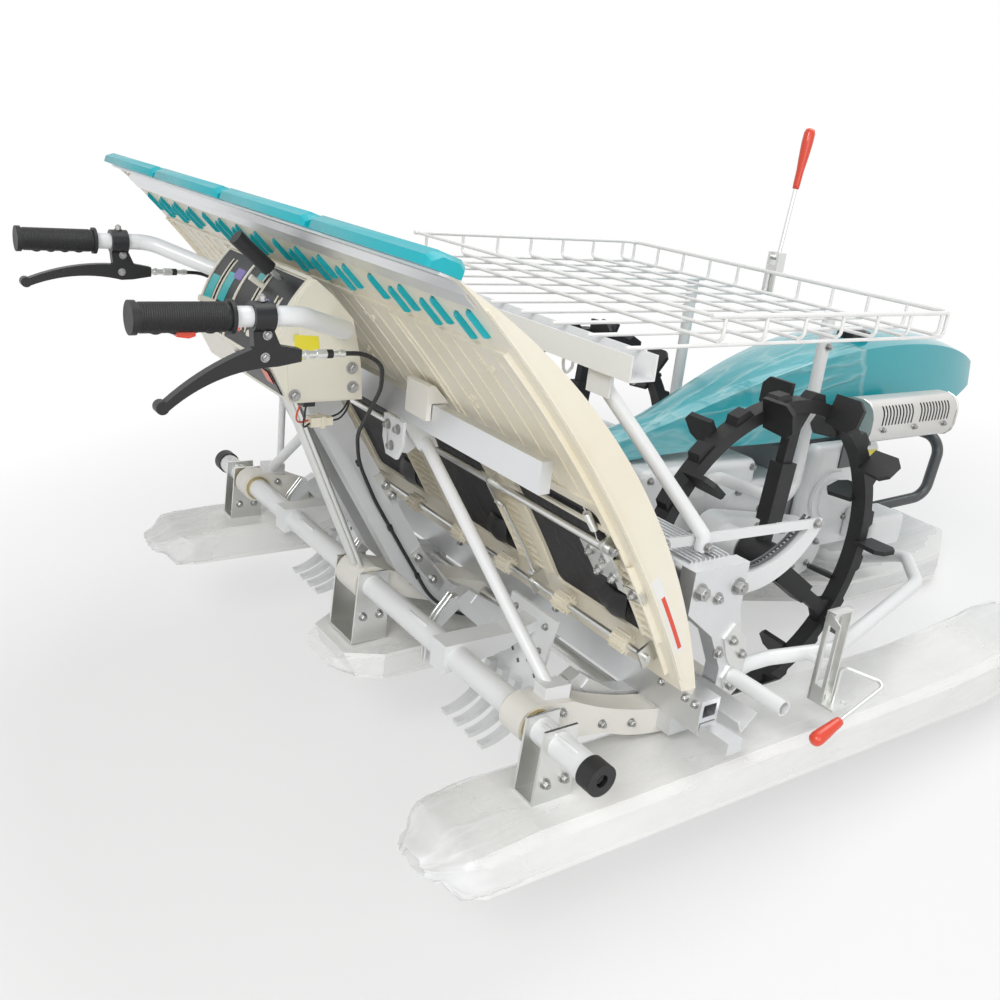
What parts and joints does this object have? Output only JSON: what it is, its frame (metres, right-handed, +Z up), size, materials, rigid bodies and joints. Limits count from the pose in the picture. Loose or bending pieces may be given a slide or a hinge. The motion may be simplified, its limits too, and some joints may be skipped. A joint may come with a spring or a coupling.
{
  "type": "walk-behind rice transplanter",
  "caption": "Walk-behind rice transplanter with ribbed rubber wheels, white floats, a sliding cream seedling table, teal hood and wire rack.",
  "frame": {"origin": "floor, under the middle of the machine's outline", "axes": "+X forward to the hood's nose, +Y to the operator's left, +Z up"},
  "size_m": [2.083, 1.402, 1.0568],
  "materials": {
    "black_rubber": "matt, fine grain",
    "soft_black": "soft, satin",
    "white_paint": "gloss paint",
    "cream_cast": "satin paint on castings",
    "teal_plastic": "moulded, glossy",
    "cream_plastic": "moulded, satin",
    "float_plastic": "moulded, glossy",
    "zinc_steel": "zinc plated",
    "bright_aluminium": "extruded, fine lines",
    "white_wire": "dipped white wire",
    "black_plastic": "moulded, satin",
    "red_plastic": "moulded, glossy",
    "grey_iron": "cast, painted grey",
    "dark_paint": "dark grey paint"
  },
  "bodies": {
    "chassis": {"cable_adjusters": "zinc_steel", "cables": "black_plastic", "clutch_levers": "black_plastic", "control_box": "cream_plastic", "control_panel": "black_plastic", "control_rods": "zinc_steel", "cross_beam": "bright_aluminium", "drive_shaft": "zinc_steel", "end_arms": "bright_aluminium", "engine_block": "grey_iron", "engine_shroud": "white_paint", "float_brackets": "zinc_steel", "float_centre": "float_plastic", "front_guard": "dark_paint", "fuel_cap": "black_plastic", "gearbox": "white_paint", "grips": "soft_black", "handle_legs": "cream_cast", "handlebars": "white_paint", "hood": "teal_plastic", "lift_arms": "white_paint", "main_frame": "white_paint", "marker_brackets": "zinc_steel", "muffler": "dark_paint", "muffler_guard": "bright_aluminium", "outriggers": "white_paint", "panel_levers": "cream_plastic", "pipe_caps": "soft_black", "planting_arms": "bright_aluminium", "planting_cases": "cream_cast", "pole_bracket": "zinc_steel", "rack_basket": "white_wire", "rack_channel": "white_paint", "rack_supports": "white_paint", "rear_pipe": "white_paint", "side_box": "white_paint", "side_floats": "float_plastic", "swing_cases": "white_paint", "table_rails": "bright_aluminium", "table_struts": "white_paint", "track_rakes": "white_paint"},
    "wheel_left": {"wheel_left": "black_rubber", "axle_left": "zinc_steel"},
    "wheel_right": {"wheel_right": "black_rubber", "axle_right": "zinc_steel"},
    "seedling_table": {"table_shell": "cream_plastic", "feed_belts": "soft_black", "table_channel": "bright_aluminium", "table_flaps": "teal_plastic", "flap_rail": "bright_aluminium", "table_sliders": "black_plastic", "feed_shafts": "zinc_steel", "feed_rollers": "white_paint"},
    "marker_left": {"marker_rod_left": "zinc_steel", "marker_knob_left": "red_plastic"},
    "marker_right": {"marker_rod_right": "zinc_steel", "marker_knob_right": "red_plastic"},
    "centre_marker": {"marker_pole": "zinc_steel", "pole_handle": "red_plastic"}
  },
  "joints": [
    {"name": "wheel_left_spin", "type": "hinge", "parent": "chassis", "child": "wheel_left", "pos_m": [0.05918, 0.296, 0.32664], "axis": [0, 1, 0], "continuous": true},
    {"name": "wheel_right_spin", "type": "hinge", "parent": "chassis", "child": "wheel_right", "pos_m": [0.05918, -0.296, 0.32664], "axis": [0, 1, 0], "continuous": true},
    {"name": "table_slide", "type": "slide", "parent": "chassis", "child": "seedling_table", "axis": [0, 1, 0], "range_m": [-0.184, 0.096]},
    {"name": "marker_left_swing", "type": "hinge", "parent": "chassis", "child": "marker_left", "pos_m": [-0.11721, 0.622, 0.2553], "axis": [0.126, 0, 0.992], "range_deg": [-95, 0]},
    {"name": "marker_right_swing", "type": "hinge", "parent": "chassis", "child": "marker_right", "pos_m": [-0.11721, -0.622, 0.2553], "axis": [0.126, 0, 0.992], "range_deg": [0, 95]},
    {"name": "centre_marker_fold", "type": "hinge", "parent": "chassis", "child": "centre_marker", "pos_m": [0.36191, 0, 0.80531], "axis": [0, 1, 0], "range_deg": [-90, 0]}
  ]
}
